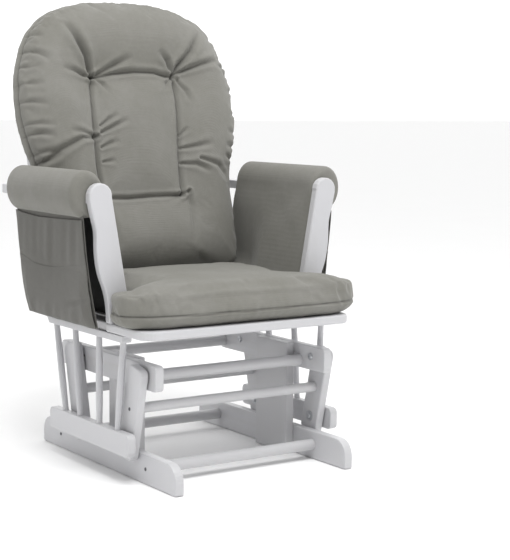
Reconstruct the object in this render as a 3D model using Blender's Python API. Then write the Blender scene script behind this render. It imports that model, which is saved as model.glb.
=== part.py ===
"""Glider nursery chair: a wooden rocker that hangs from four swinging links.

Metres, +Z up, +Y towards the back, +X to the sitter's left. The origin is on the
floor, in the middle of the chair. Every piece is one object.
"""
import math

import bmesh
import bpy
from mathutils import Matrix, Vector

# ---------------------------------------------------------------- driving sizes
GAP = 0.0003              # air between touching pieces
HALF_DEPTH = 0.3550       # half of the whole depth
BOARD = 0.0200            # thickness of the planed boards
EDGE = 0.0022             # rounding on board edges

# base
RUNNER_REAR = 0.2430
RUNNER_HEIGHT = 0.0620
BASE_OUT = 0.2230         # outer face of runners and top rails, from the middle
RAIL_LOW, RAIL_TOP = 0.1980, 0.2520
RAIL_FRONT, RAIL_REAR = -0.2745, 0.1460
POST_FRONT, POST_REAR = -0.1620, -0.0390
DOWEL_R = 0.0125

# swinging links: pivots as (y, z)
GLIDE_MID = -0.0828       # middle between the front and the rear links
TOP_SPREAD, LOW_SPREAD = 0.1417, 0.1085
PIVOT_TOP_Z, PIVOT_LOW_Z = 0.2290, 0.0870
LINK_IN, LINK_OUT = 0.2262, 0.2457
LINK_WIDTH = 0.0560
LINK_HEAD = {"front": (0.0175, 0.0140), "rear": (0.0300, 0.0190)}  # above pivot, rounding
LINK_DOWEL_Z = 0.1560
LINK_DOWEL_R = 0.0110
BOLT_R = 0.0040
RUN_FIT = 0.0003          # radial clearance of a bolt in its hole
OPEN_FIT = 0.0033         # extra clearance in the front links' lower holes

# seat frame
LOW_RAIL_IN, LOW_RAIL_OUT = 0.2487, 0.2680
LOW_RAIL = (-0.2400, 0.1180, 0.0600, 0.1085)      # front, rear, bottom, top
SEAT_HALF = 0.2620
SIDE_RAIL = (-0.2070, 0.1430, 0.2940, 0.3087)     # front, rear, bottom, top
DECK_LOW, DECK_TOP = 0.3090, 0.3280
PLANK_FRONT, PLANK_REAR = -0.2991, -0.1320
SPINDLE_LOW_Y = (0.0580, -0.0110, -0.0990, -0.1790)
SPINDLE_TOP_Y = (0.1110, 0.0210, -0.0890, -0.1940)
SPINDLE_LOW_X, SPINDLE_TOP_X = 0.2580, 0.2525
SPINDLE_R, SPINDLE_END_R = 0.0076, 0.0064

# arms
ARM_POST_FRONT = -0.1617
ARM_RAIL_X = (0.2687, 0.3100)
ARM_RAIL_Z = (0.5780, 0.5980)
ARM_RAIL_REAR = 0.2710
ARM_TONGUE_FRONT = 0.2230  # behind this the arm rail widens to meet the back stile
PAD_MID = (0.3040, 0.5950)
PAD_RADII = (0.0400, 0.0500)
PAD_REAR = 0.1810

# back, in its own leaning frame: v up the back, n out behind it
LEAN = math.atan(0.27)
BACK_FOOT = Vector((0.0, 0.1428, 0.3090))
STILE_X = (0.2300, 0.2500)
STILE_DEPTH = 0.0290
CREST_LOW_V = 0.5086
CREST_EDGE = ((0.2500, 0.5086), (0.2470, 0.5450), (0.2320, 0.5850), (0.2130, 0.6170),
              (0.1850, 0.6600), (0.1500, 0.6900))
BOARD_N = (0.0090, 0.0290)     # crest and lower rail, centred in the stiles' depth
SLAT_N = (0.0130, 0.0250)

COLOURS = {
    "white_paint": ((0.80, 0.80, 0.81), 0.32, 0.0),
    "grey_fabric": ((0.29, 0.285, 0.265), 0.85, 0.0),
    "zinc_steel": ((0.62, 0.62, 0.62), 0.35, 1.0),
}


# ---------------------------------------------------------------- small helpers
def clear_scene():
    for thing in list(bpy.data.objects):
        bpy.data.objects.remove(thing, do_unlink=True)


def slot(name):
    found = bpy.data.materials.get(name)
    if found:
        return found
    colour, rough, metal = COLOURS[name]
    made = bpy.data.materials.new(name)
    made.use_nodes = True
    shader = made.node_tree.nodes["Principled BSDF"]
    shader.inputs["Base Color"].default_value = (*colour, 1.0)
    shader.inputs["Roughness"].default_value = rough
    shader.inputs["Metallic"].default_value = metal
    return made


def axis_empty(name, at, parent=None):
    empty = bpy.data.objects.new(name, None)
    empty.empty_display_size = 0.04
    empty.hide_render = True
    empty.display_type = "WIRE"
    bpy.context.collection.objects.link(empty)
    empty["world_at"] = at
    put(empty, Vector(at), parent)
    return empty


def put(thing, at, parent):
    """Place a thing at a world point, under an empty that is only moved, never turned."""
    if parent is not None:
        thing.parent = parent
        at = at - Vector(parent["world_at"])
    thing.location = at


def add(name, bm, paint, at=(0, 0, 0), turn=None, parent=None, smooth=True):
    bmesh.ops.recalc_face_normals(bm, faces=bm.faces)
    mesh = bpy.data.meshes.new(name)
    bm.to_mesh(mesh)
    bm.free()
    thing = bpy.data.objects.new(name, mesh)
    bpy.context.collection.objects.link(thing)
    if paint:
        mesh.materials.append(slot(paint))
    put(thing, Vector(at), parent)
    if turn is not None:
        thing.rotation_euler = turn.to_euler()
    if smooth:
        mesh.shade_smooth()
        mesh.set_sharp_from_angle(angle=math.radians(35))
    return thing


def corner_arcs(corners, steps=5):
    """Round a polygon: corners are (u, v, radius), in order round the outline."""
    out = []
    count = len(corners)
    for i, (u, v, radius) in enumerate(corners):
        here = Vector((u, v))
        if radius <= 0:
            out.append(here)
            continue
        before = (Vector(corners[i - 1][:2]) - here).normalized()
        after = (Vector(corners[(i + 1) % count][:2]) - here).normalized()
        half = before.angle(after) / 2
        run = radius / math.tan(half)
        middle = here + (before + after).normalized() * (radius / math.sin(half))
        first = here + before * run - middle
        last = here + after * run - middle
        sweep = math.atan2(first.x * last.y - first.y * last.x, first.dot(last))
        for k in range(steps + 1):
            turn = Matrix.Rotation(sweep * k / steps, 2)
            out.append(middle + turn @ first)
    return out


def curve_through(points, steps=4):
    """A smooth open curve through 2-D points."""
    pts = [Vector(p) for p in points]
    pts = [2 * pts[0] - pts[1]] + pts + [2 * pts[-1] - pts[-2]]
    out = []
    for a, b, c, d in zip(pts, pts[1:], pts[2:], pts[3:]):
        for k in range(steps):
            t = k / steps
            out.append(0.5 * (2 * b + (c - a) * t + (2 * a - 5 * b + 4 * c - d) * t * t
                              + (3 * b - a - 3 * c + d) * t ** 3))
    out.append(pts[-2])
    return out


def slab(outline, along, low, high):
    """Extrude a closed outline between two planes: along x, y or z."""
    def point(p, t):
        return {"x": (t, p[0], p[1]), "y": (p[0], t, p[1]), "z": (p[0], p[1], t)}[along]
    bm = bmesh.new()
    ends = [[bm.verts.new(point(p, t)) for p in outline] for t in (low, high)]
    bm.faces.new(ends[0])
    bm.faces.new(reversed(ends[1]))
    for i in range(len(outline)):
        j = (i + 1) % len(outline)
        bm.faces.new((ends[0][i], ends[0][j], ends[1][j], ends[1][i]))
    return bm


def box_outline(u0, u1, v0, v1, radius=0.0):
    return corner_arcs([(u0, v0, radius), (u1, v0, radius), (u1, v1, radius), (u0, v1, radius)])


def lathe(profile, sides=20, ring=False):
    """Turn a profile of (z, radius) about Z. A ring's profile closes on itself."""
    bm = bmesh.new()
    loops = []
    for z, radius in profile:
        loops.append([bm.verts.new((radius * math.cos(a), radius * math.sin(a), z))
                      for a in (2 * math.pi * k / sides for k in range(sides))])
    pairs = list(zip(loops, loops[1:])) + ([(loops[-1], loops[0])] if ring else [])
    for lower, upper in pairs:
        for k in range(sides):
            m = (k + 1) % sides
            bm.faces.new((lower[k], lower[m], upper[m], upper[k]))
    if not ring:
        bm.faces.new(loops[0])
        bm.faces.new(reversed(loops[-1]))
    return bm


def facing(direction):
    return Vector(direction).to_track_quat("Z", "Y")


def soften(thing, width=EDGE, segments=2):
    bevel = thing.modifiers.new("rounded_edges", "BEVEL")
    bevel.width = width
    bevel.segments = segments
    bevel.limit_method = "ANGLE"
    bevel.angle_limit = math.radians(40)


def drill(thing, centre, direction, radius, length, sides=20):
    """Cut a round hole from a point on a face, along a direction."""
    start = Vector(centre) - Vector(direction).normalized() * 0.004
    cutter = add(thing.name + "_drill", lathe([(0, radius), (length + 0.004, radius)], sides),
                 None, start, facing(direction), thing.parent)
    hide_cutter(thing, cutter)


def hide_cutter(thing, cutter):
    cutter.hide_render = True
    cutter.display_type = "WIRE"
    cut = thing.modifiers.new("cut", "BOOLEAN")
    cut.operation = "DIFFERENCE"
    cut.solver = "EXACT"
    cut.object = cutter


def sides_of():
    return (("left", -1), ("right", 1))


def span(side, inner, outer):
    return tuple(sorted((side * inner, side * outer)))


def pivot(which, height):
    """(y, z) of a link pivot: which is front or rear, height is top or low."""
    sign = -1 if which == "front" else 1
    if height == "top":
        return GLIDE_MID + sign * TOP_SPREAD, PIVOT_TOP_Z
    return GLIDE_MID + sign * LOW_SPREAD, PIVOT_LOW_Z


def along_link(which, z):
    """y of the link's middle line at a height."""
    (y1, z1), (y0, z0) = pivot(which, "top"), pivot(which, "low")
    return y0 + (y1 - y0) * (z - z0) / (z1 - z0)


# ---------------------------------------------------------------- base
def cross_dowel(name, y, z, half, radius, tenon, parent=None):
    """A round bar across the chair, with a thinner tenon at each end."""
    end = half + 0.0095
    profile = [(-end, tenon), (-half, tenon), (-half, radius), (half, radius),
               (half, tenon), (end, tenon)]
    return add(name, lathe(profile, 24), "white_paint", (0, y, z), facing((1, 0, 0)), parent)


LOWER_DOWELS = {"front": (-0.2341, 0.0320), "rear": (0.1528, 0.0320)}
UPPER_DOWELS = {"front": (-0.1830, 0.2160), "rear": (0.1280, 0.2165)}
BASE_TENON, LINK_TENON = 0.0060, 0.0055


def build_base():
    base_in = BASE_OUT - BOARD
    for label, side in sides_of():
        inward = (-side, 0, 0)
        face = side * base_in
        runner = add(f"runner_{label}", slab(corner_arcs([
            (-HALF_DEPTH, 0, 0.004), (RUNNER_REAR, 0, 0.004),
            (RUNNER_REAR, RUNNER_HEIGHT, 0.036), (-HALF_DEPTH, RUNNER_HEIGHT, 0.036)], 7),
            "x", *span(side, base_in, BASE_OUT)), "white_paint")
        soften(runner)
        rail = add(f"top_rail_{label}", slab(corner_arcs([
            (RAIL_FRONT, RAIL_LOW, 0.010), (RAIL_REAR, RAIL_LOW, 0.010),
            (RAIL_REAR, RAIL_TOP, 0.010), (RAIL_FRONT, RAIL_TOP, 0.010)], 4),
            "x", *span(side, base_in, BASE_OUT)), "white_paint")
        soften(rail)
        post = add(f"base_post_{label}", slab(
            box_outline(POST_FRONT, POST_REAR, 0.0, RAIL_TOP),
            "x", *span(side, base_in - GAP - BOARD, base_in - GAP)), "white_paint")
        soften(post)
        for y, z in LOWER_DOWELS.values():
            drill(runner, (face, y, z), (side, 0, 0), BASE_TENON + GAP, 0.0105)
        for y, z in UPPER_DOWELS.values():
            drill(rail, (face, y, z), (side, 0, 0), BASE_TENON + GAP, 0.0105)
        for which in ("front", "rear"):
            y, z = pivot(which, "top")
            drill(rail, (face, y, z), (side, 0, 0), BOLT_R + RUN_FIT, 0.030)
            profile = [(0, 0.0035), (0.0012, 0.0062), (0.0049, 0.0075),
                       (0.0050, BOLT_R), (0.0395, BOLT_R)]
            add(f"upper_bolt_{which}_{label}", lathe(profile), "zinc_steel",
                (face - side * 0.0053, y, z), facing((side, 0, 0)))
    for which, (y, z) in LOWER_DOWELS.items():
        cross_dowel(f"lower_dowel_{which}", y, z, base_in - GAP, DOWEL_R, BASE_TENON)
    for which, (y, z) in UPPER_DOWELS.items():
        cross_dowel(f"upper_dowel_{which}", y, z, base_in - GAP, DOWEL_R, BASE_TENON)


# ---------------------------------------------------------------- swinging links
def link_outline(which):
    """A straight board round both pivots, with rounded top corners."""
    (yt, zt), (yl, zl) = pivot(which, "top"), pivot(which, "low")
    down = (Vector((yl, zl)) - Vector((yt, zt))).normalized()
    over = Vector((-down.y, down.x)) * (LINK_WIDTH / 2)
    above, rounding = LINK_HEAD[which]
    top = Vector((yt, zt)) - down * above
    low = Vector((yl, zl)) + down * 0.0400
    return corner_arcs([(*(top - over), rounding), (*(low - over), 0.014),
                        (*(low + over), 0.014), (*(top + over), rounding)], 5)


def build_links(which, parent):
    yt, zt = pivot(which, "top")
    yl, zl = pivot(which, "low")
    yd = along_link(which, LINK_DOWEL_Z)
    low_hole = BOLT_R + RUN_FIT + (OPEN_FIT if which == "front" else 0.0)
    for label, side in sides_of():
        link = add(f"{which}_link_{label}", slab(link_outline(which), "x",
                   *span(side, LINK_IN, LINK_OUT)), "white_paint", parent=parent)
        link.location = -Vector(parent["world_at"])
        soften(link, 0.0030)
        face = side * LINK_IN
        drill(link, (face, yt, zt), (side, 0, 0), 0.0110, 0.0126, 24)
        drill(link, (face, yl, zl), (side, 0, 0), low_hole, 0.030)
        drill(link, (face, yd, LINK_DOWEL_Z), (side, 0, 0), LINK_TENON + GAP, 0.0105)
        ring = [(0.0000, 0.0043), (0.0000, 0.0070), (0.0029, 0.0070), (0.0029, 0.0107),
                (0.0149, 0.0107), (0.0149, 0.0043)]
        add(f"link_bearing_{which}_{label}", lathe(ring, 24, ring=True), "zinc_steel",
            (side * 0.2236, yt, zt), facing((side, 0, 0)), parent)
    cross_dowel(f"{which}_link_dowel", yd, LINK_DOWEL_Z, LINK_IN - GAP, LINK_DOWEL_R,
                LINK_TENON, parent)


# ---------------------------------------------------------------- seat frame
def build_seat_frame(parent):
    front, rear, low, top = LOW_RAIL
    sf, sr, sl, st = SIDE_RAIL
    for label, side in sides_of():
        lower = board_x(f"lower_rail_{label}", corner_arcs([
            (front, low, 0.012), (rear, low, 0.012), (rear, top, 0.012), (front, top, 0.012)], 4),
            side, LOW_RAIL_IN, LOW_RAIL_OUT, parent)
        upper = board_x(f"seat_side_rail_{label}", corner_arcs([
            (sf, sl, 0.004), (sr - 0.012, sl, 0.004), (sr, st, 0.0), (sf, st, 0.0)], 3),
            side, SEAT_HALF - 0.022, SEAT_HALF, parent, 0.0015)
        for n, (y0, y1) in enumerate(zip(SPINDLE_LOW_Y, SPINDLE_TOP_Y), 1):
            foot = Vector((side * SPINDLE_LOW_X, y0, top))
            head = Vector((side * SPINDLE_TOP_X, y1, sl))
            way = (head - foot).normalized()
            length = (head - foot).length
            hole = SPINDLE_END_R + GAP
            drill(lower, foot, -way, hole, 0.0125)
            drill(upper, head, way, hole, 0.0105)
            ends = length + 0.0120 + 0.0100
            profile = [(ends * t, SPINDLE_END_R + (SPINDLE_R - SPINDLE_END_R) * swell)
                       for t, swell in ((0, 0), (0.09, 0), (0.3, 0.8), (0.5, 1.0),
                                        (0.7, 0.75), (0.93, 0), (1, 0))]
            add(f"spindle_{n}_{label}", lathe(profile, 16), "white_paint",
                foot - way * 0.0120, facing(way), parent)
        for which in ("front", "rear"):
            y, z = pivot(which, "low")
            drill(lower, (side * LOW_RAIL_IN, y, z), (side, 0, 0), BOLT_R + GAP, 0.0155)
            profile = [(0, 0.0035), (0.0010, 0.0060), (0.0036, 0.0066), (0.0038, 0.0110),
                       (0.0060, 0.0110), (0.0061, BOLT_R), (0.0430, BOLT_R)]
            add(f"lower_bolt_{which}_{label}", lathe(profile, 20), "zinc_steel",
                (side * (LINK_IN - 0.0064), y, z), facing((side, 0, 0)), parent)
    plank = add("front_plank", slab(corner_arcs([
        (-SEAT_HALF, PLANK_FRONT, 0.034), (SEAT_HALF, PLANK_FRONT, 0.034),
        (SEAT_HALF, PLANK_REAR, 0.008), (-SEAT_HALF, PLANK_REAR, 0.008)], 7),
        "z", DECK_LOW, DECK_TOP), "white_paint", parent=parent)
    soften(plank, 0.0035)
    deck = add("seat_deck", slab(box_outline(-0.2560, 0.2560, PLANK_REAR + 0.0010, 0.1220),
               "z", DECK_LOW, DECK_TOP), "white_paint", parent=parent)
    soften(deck)
    rear_rail = add("rear_seat_rail", slab(
        box_outline(-SEAT_HALF, SEAT_HALF, DECK_LOW, 0.3650, 0.004),
        "y", 0.1225, 0.1425), "white_paint", parent=parent)
    soften(rear_rail)


def board_x(name, outline, side, inner, outer, parent, width=EDGE):
    made = add(name, slab(outline, "x", *span(side, inner, outer)), "white_paint", parent=parent)
    soften(made, width)
    return made


# ---------------------------------------------------------------- arms
def arm_post_outline():
    """Straight splayed inner edge, round head and a waisted outer edge."""
    inner = [Vector((0.2135, DECK_TOP + GAP)), Vector((0.2595, 0.5915))]
    head_mid, head_r = Vector((0.2857, 0.5930)), 0.0268
    head = [head_mid + head_r * Vector((math.cos(a), math.sin(a)))
            for a in (math.radians(172 - 20 * k) for k in range(9))]
    outer = curve_through([(0.3118, 0.5870), (0.3050, 0.5560), (0.2960, 0.5200),
                           (0.2950, 0.4780), (0.2885, 0.4350), (0.2745, 0.3950),
                           (0.2680, 0.3600), (0.2665, DECK_TOP + GAP)], 3)
    return inner + head + outer


def build_arms(parent):
    hole = 0.0003
    x0, x1 = ARM_RAIL_X
    z0, z1 = ARM_RAIL_Z
    post_rear = ARM_POST_FRONT + BOARD
    for label, side in sides_of():
        flip = [(side * p[0], p[1]) for p in arm_post_outline()]
        post = add(f"arm_post_{label}", slab(flip, "y", ARM_POST_FRONT, post_rear),
                   "white_paint", parent=parent)
        soften(post, 0.0035)
        tongue = STILE_X[1] + GAP
        rail = add(f"arm_rail_{label}", slab([(side * p[0], p[1]) for p in corner_arcs([
            (x0, post_rear + GAP, 0), (x1, post_rear + GAP, 0),
            (x1, ARM_RAIL_REAR, 0.005), (tongue, ARM_RAIL_REAR, 0.005),
            (tongue, ARM_TONGUE_FRONT, 0), (x0, ARM_TONGUE_FRONT, 0)], 3)],
            "z", z0, z1), "white_paint", parent=parent)
        soften(rail, 0.0015)
        ring = [(side * PAD_MID[0] + PAD_RADII[0] * math.cos(a), PAD_MID[1] + PAD_RADII[1] * math.sin(a))
                for a in (2 * math.pi * k / 28 for k in range(28))]
        pad = add(f"arm_pad_{label}", slab(ring, "y", post_rear + 0.0010, PAD_REAR),
                  "grey_fabric", parent=parent)
        soften(pad, 0.0060)
        low, high = span(side, x0 - hole, x1 + hole)
        cutter = add(f"arm_pad_slot_{label}", slab(
            box_outline(low, high, z0 - hole, z1 + hole), "y", -0.30, 0.40),
            None, parent=parent, smooth=False)
        hide_cutter(pad, cutter)
        panel = [(side * x, z) for x, z in ((0.3150, 0.5450), (0.3200, 0.5455), (0.3080, 0.4300),
                                            (0.2850, 0.3180), (0.2800, 0.3180), (0.3030, 0.4300))]
        side_panel = add(f"pocket_panel_{label}", slab(panel, "y", post_rear + 0.0020, 0.1780),
                         "grey_fabric", parent=parent)
        soften(side_panel, 0.0010, 1)


# ---------------------------------------------------------------- back
def leaning(name, outline, n0, n1, paint, parent, bevel, segments=2):
    """A piece drawn flat as (x, v) and stood up on the back's leaning frame."""
    bm = slab([(p[0], p[1]) for p in outline], "y", n0, n1)
    made = add(name, bm, paint, BACK_FOOT, Matrix.Rotation(-LEAN, 3, "X").to_quaternion(), parent)
    soften(made, bevel, segments)
    return made


def build_back(parent):
    rounded_off = EDGE * (math.sin(LEAN) + math.cos(LEAN) - 1)
    reach = HALF_DEPTH + rounded_off - BACK_FOOT.y
    crest_top = (reach - BOARD_N[1] * math.cos(LEAN)) / math.sin(LEAN)
    stile_out, stile_in = STILE_X[1], STILE_X[0]
    for label, side in sides_of():
        low, high = span(side, stile_in, stile_out)
        leaning(f"back_stile_{label}", box_outline(low, high, 0.0, CREST_LOW_V - GAP),
                0.0, STILE_DEPTH, "white_paint", parent, EDGE)
    half = curve_through(CREST_EDGE + ((0.0, crest_top),), 4)
    outline = list(half) + [Vector((-p.x, p.y)) for p in reversed(half[:-1])]
    leaning("back_crest_rail", outline, *BOARD_N, "white_paint", parent, EDGE)
    low_v = 0.0950
    leaning("back_lower_rail", box_outline(-stile_in + GAP, stile_in - GAP, low_v, low_v + 0.048),
            *BOARD_N, "white_paint", parent, EDGE)
    for n, x in enumerate((-0.1150, 0.0, 0.1150), 1):
        leaning(f"back_slat_{n}", box_outline(x - 0.0275, x + 0.0275, low_v + 0.048 + GAP,
                CREST_LOW_V - GAP), *SLAT_N, "white_paint", parent, EDGE)


# ---------------------------------------------------------------- cushions
BACK_CUSHION_EDGE = ((0.2250, 0.1200), (0.2500, 0.1500), (0.2560, 0.2900), (0.2610, 0.3450),
                     (0.2830, 0.4100), (0.2870, 0.4550), (0.2760, 0.5280), (0.2530, 0.6100),
                     (0.2150, 0.6680), (0.1350, 0.7060), (0.0000, 0.7199))
BACK_CUSHION_DEEP = 0.0850
SEAT_CUSHION_TOP = 0.4250


def build_cushions(parent):
    half = curve_through(BACK_CUSHION_EDGE, 3)
    outline = list(half) + [Vector((-p.x, p.y)) for p in reversed(half[:-1])]
    leaning("back_cushion", outline, -GAP - BACK_CUSHION_DEEP, -GAP, "grey_fabric", parent,
            0.0240, 3)
    wing, waist = 0.2850, 0.2115
    front, wing_rear, rear = -0.3030, ARM_POST_FRONT - 0.0020, 0.1190
    outline = corner_arcs([
        (-wing, front, 0.045), (wing, front, 0.045), (wing, wing_rear, 0.020),
        (waist, wing_rear, 0.006), (waist, rear, 0.030), (-waist, rear, 0.030),
        (-waist, wing_rear, 0.006), (-wing, wing_rear, 0.020)], 5)
    cushion = add("seat_cushion", slab(outline, "z", DECK_TOP + GAP, SEAT_CUSHION_TOP),
                  "grey_fabric", parent=parent)
    soften(cushion, 0.0180, 3)


# ---------------------------------------------------------------- the whole chair
def main():
    clear_scene()
    build_base()
    rear_axis = axis_empty("rear_link_axis", (0.0, *pivot("rear", "top")))
    front_axis = axis_empty("front_link_axis", (0.0, *pivot("front", "top")))
    seat_axis = axis_empty("seat_axis", (0.0, *pivot("rear", "low")), rear_axis)
    build_links("rear", rear_axis)
    build_links("front", front_axis)
    build_seat_frame(seat_axis)
    build_arms(seat_axis)
    build_back(seat_axis)
    build_cushions(seat_axis)


main()
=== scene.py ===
# %% [markdown]
# # A glider nursery chair
# A glider looks like a rocking chair, but the seat hangs from four short swinging boards, called
# links, so it slides to and fro and never tips. The frame is white painted wood. A tufted back
# cushion, a seat cushion and two arm covers in warm grey brushed cloth lie on it.
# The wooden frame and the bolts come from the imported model, in metres, with +Z up and the chair
# facing -Y. This script gives them their finishes and builds everything soft.

# %% Load the fixed frame
import math

import bmesh
import bpy
import numpy as np
from mathutils import Matrix, Vector


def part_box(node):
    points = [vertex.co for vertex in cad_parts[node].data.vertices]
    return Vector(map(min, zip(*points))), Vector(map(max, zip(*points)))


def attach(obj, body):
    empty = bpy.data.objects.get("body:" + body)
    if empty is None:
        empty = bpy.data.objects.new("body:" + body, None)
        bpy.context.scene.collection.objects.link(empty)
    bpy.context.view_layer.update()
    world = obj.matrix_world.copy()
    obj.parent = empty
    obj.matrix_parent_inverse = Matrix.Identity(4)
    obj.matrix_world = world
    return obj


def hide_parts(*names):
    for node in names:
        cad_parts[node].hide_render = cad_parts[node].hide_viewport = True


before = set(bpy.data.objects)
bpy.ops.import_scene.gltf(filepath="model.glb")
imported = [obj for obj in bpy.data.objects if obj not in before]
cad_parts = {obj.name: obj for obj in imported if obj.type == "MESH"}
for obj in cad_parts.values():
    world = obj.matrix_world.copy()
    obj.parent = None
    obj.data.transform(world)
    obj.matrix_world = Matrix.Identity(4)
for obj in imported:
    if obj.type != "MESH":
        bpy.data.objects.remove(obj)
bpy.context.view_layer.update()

SIDES = (("left", -1), ("right", 1))

# %% [markdown]
# ## Camera, floor and light
# A long lens from the chair's front, a little above the seat and to the sitter's right, keeps
# upright lines nearly parallel. The camera is set from its own three directions (right, up and
# forward), which is plainer than three Euler angles when there is a small roll as well.

# %% Camera
CAMERA_AT = Vector((-1.695, -2.805, 0.781))
YAW, PITCH, ROLL = (math.radians(a) for a in (34.04, 6.82, 0.54))
LENS_MM, SENSOR_MM = 94.1, 36.0

forward = Vector((math.sin(YAW) * math.cos(PITCH), math.cos(YAW) * math.cos(PITCH),
                  -math.sin(PITCH)))
level_right = Vector((math.cos(YAW), -math.sin(YAW), 0))
level_up = level_right.cross(forward)
cam_right = math.cos(ROLL) * level_right + math.sin(ROLL) * level_up
cam_up = math.cos(ROLL) * level_up - math.sin(ROLL) * level_right

lens = bpy.data.cameras.new("camera")
lens.lens, lens.sensor_width, lens.shift_x = LENS_MM, SENSOR_MM, 0.0026
camera = bpy.data.objects.new("camera", lens)
bpy.context.collection.objects.link(camera)
camera.matrix_world = Matrix([(cam_right[i], cam_up[i], -forward[i], CAMERA_AT[i])
                              for i in range(3)] + [(0, 0, 0, 1)])
bpy.context.scene.camera = camera
print("camera at", [round(c, 2) for c in CAMERA_AT])

# %% [markdown]
# ## Helpers for colour and for shader nodes
# Colours are picked as sRGB hex values and turned linear once. One small function adds a shader
# node, fills its sockets or settings and joins its inputs, so each material reads as a short list.


# %% Colour and node helpers
def rgb(hex_code):
    parts = (int(hex_code[i:i + 2], 16) / 255 for i in (1, 3, 5))
    return tuple(c / 12.92 if c <= 0.04045 else ((c + 0.055) / 1.055) ** 2.4
                 for c in parts) + (1.0,)


def add(tree, kind, settings=None, links=None):
    """Add one shader node: settings fill sockets or properties, links join inputs."""
    made = tree.nodes.new("ShaderNode" + kind)
    for key, value in (settings or {}).items():
        if isinstance(key, str) and hasattr(made, key):
            setattr(made, key, value)
    for key, value in (settings or {}).items():
        if not (isinstance(key, str) and hasattr(made, key)):
            made.inputs[key].default_value = value
    for key, source in (links or {}).items():
        tree.links.new(source, made.inputs[key])
    return made


def new_material(name):
    made = bpy.data.materials.new(name)
    made.use_nodes = True
    tree = made.node_tree
    return made, tree, tree.nodes["Principled BSDF"]


# %% [markdown]
# ## Studio
# The room is white behind the chair and overhead and greyer on the camera's side, so faces that
# look at the camera or down are a step darker than faces that look up. A large soft panel above
# and in front models the cushions. The floor is white and runs out of sight.

# %% Floor and lights
def painted_floor():
    made, tree, shader = new_material("matt_white_studio_floor")
    coords = add(tree, "TexCoord")
    noise = add(tree, "TexNoise", {"Scale": 3.0, "Detail": 2.0},
                {"Vector": coords.outputs["Object"]})
    tint = add(tree, "Mix", {"data_type": "RGBA", 6: rgb("#FDFDFD"), 7: rgb("#FFFFFF")},
               {0: noise.outputs["Fac"]})
    tree.links.new(tint.outputs[2], shader.inputs["Base Color"])
    shader.inputs["Roughness"].default_value = 0.9
    shader.inputs["Specular IOR Level"].default_value = 0.1
    return made


floor_mesh = bpy.data.meshes.new("studio_floor")
reach = 60.0
floor_mesh.from_pydata([(-reach, -reach, -0.0008), (reach, -reach, -0.0008),
                        (reach, reach, -0.0008), (-reach, reach, -0.0008)], [], [(0, 1, 2, 3)])
floor_mesh.materials.append(painted_floor())
floor = bpy.data.objects.new("studio_floor", floor_mesh)
bpy.context.collection.objects.link(floor)

BRIGHT_SIDE = (0.55, 0.65, 0.52)      # white wall behind the chair and a bright ceiling
room = bpy.data.worlds.new("studio_air")
bpy.context.scene.world = room
room.use_nodes = True
air = room.node_tree
around = add(air, "TexCoord")
toward = add(air, "VectorMath", {"operation": "DOT_PRODUCT", 1: BRIGHT_SIDE},
             {0: around.outputs["Generated"]})
glow = add(air, "MapRange", {"From Min": -1.0, "To Min": 0.06, "To Max": 1.38},
           {"Value": toward.outputs["Value"]})
air.links.new(glow.outputs["Result"], air.nodes["Background"].inputs["Color"])
bpy.context.scene.view_settings.view_transform = "Standard"


def panel_light(name, at, toward, size, watts):
    data = bpy.data.lights.new(name, "AREA")
    data.shape, data.size, data.energy = "SQUARE", size, watts
    made = bpy.data.objects.new(name, data)
    bpy.context.collection.objects.link(made)
    made.location = at
    made.rotation_euler = (Vector(toward) - Vector(at)).to_track_quat("-Z", "Y").to_euler()
    return made


panel_light("top_front_panel", (-0.40, -1.35, 3.2), (0, 0, 0.5), 1.6, 70)

# %% [markdown]
# ## White paint on wood
# The boards are solid wood under satin white lacquer. Under the paint the grain still shows as
# very fine long ridges, about 3 mm apart, and the satin coat breaks highlights a little. The
# grain has to run along each board, so the paint is made once for each of the three directions.


# %% Painted wood
def painted_wood(axis):
    """Satin lacquer on beech whose grain runs along axis 0, 1 or 2."""
    made, tree, shader = new_material("satin_white_lacquer_on_beech_" + "xyz"[axis])
    stretch = [330.0, 330.0, 330.0]      # 3 mm between grain ridges across the board
    stretch[axis] = 7.0                  # and about 140 mm along it
    coords = add(tree, "TexCoord")
    along = add(tree, "Mapping", {"Scale": stretch}, {"Vector": coords.outputs["Object"]})
    grain = add(tree, "TexNoise", {"Scale": 1.0, "Detail": 3.0, "Roughness": 0.6},
                {"Vector": along.outputs["Vector"]})
    cloud = add(tree, "TexNoise", {"Scale": 9.0, "Detail": 3.0},
                {"Vector": coords.outputs["Object"]})
    shape = add(tree, "NewGeometry")
    edge = add(tree, "MapRange", {"From Min": 0.52, "From Max": 0.62, "To Max": 0.35},
               {"Value": shape.outputs["Pointiness"]})
    paint = add(tree, "Mix", {"data_type": "RGBA", 6: rgb("#C4C4C7"), 7: rgb("#CBCBCE")},
                {0: cloud.outputs["Fac"]})
    worn = add(tree, "Mix", {"data_type": "RGBA", 7: rgb("#BAB9B5")},
               {0: edge.outputs["Result"], 6: paint.outputs[2]})
    gloss = add(tree, "MapRange", {"To Min": 0.30, "To Max": 0.44}, {"Value": grain.outputs["Fac"]})
    ridge = add(tree, "Bump", {"Strength": 0.16, "Distance": 0.0004},
                {"Height": grain.outputs["Fac"]})
    tree.links.new(worn.outputs[2], shader.inputs["Base Color"])
    tree.links.new(gloss.outputs["Result"], shader.inputs["Roughness"])
    tree.links.new(ridge.outputs["Normal"], shader.inputs["Normal"])
    shader.inputs["IOR"].default_value = 1.5
    shader.inputs["Coat Weight"].default_value = 0.15
    shader.inputs["Coat Roughness"].default_value = 0.25
    return made


paints = [painted_wood(axis) for axis in range(3)]
print("paints:", [p.name for p in paints])

# %% [markdown]
# ## Zinc-plated steel
# The pivot bolts and bearings are bright zinc on turned steel. Turning leaves fine rings and the
# plating is slightly cloudy, so roughness changes over a few millimetres. The small cap bolts
# outside are the same steel, gone dull.


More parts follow.
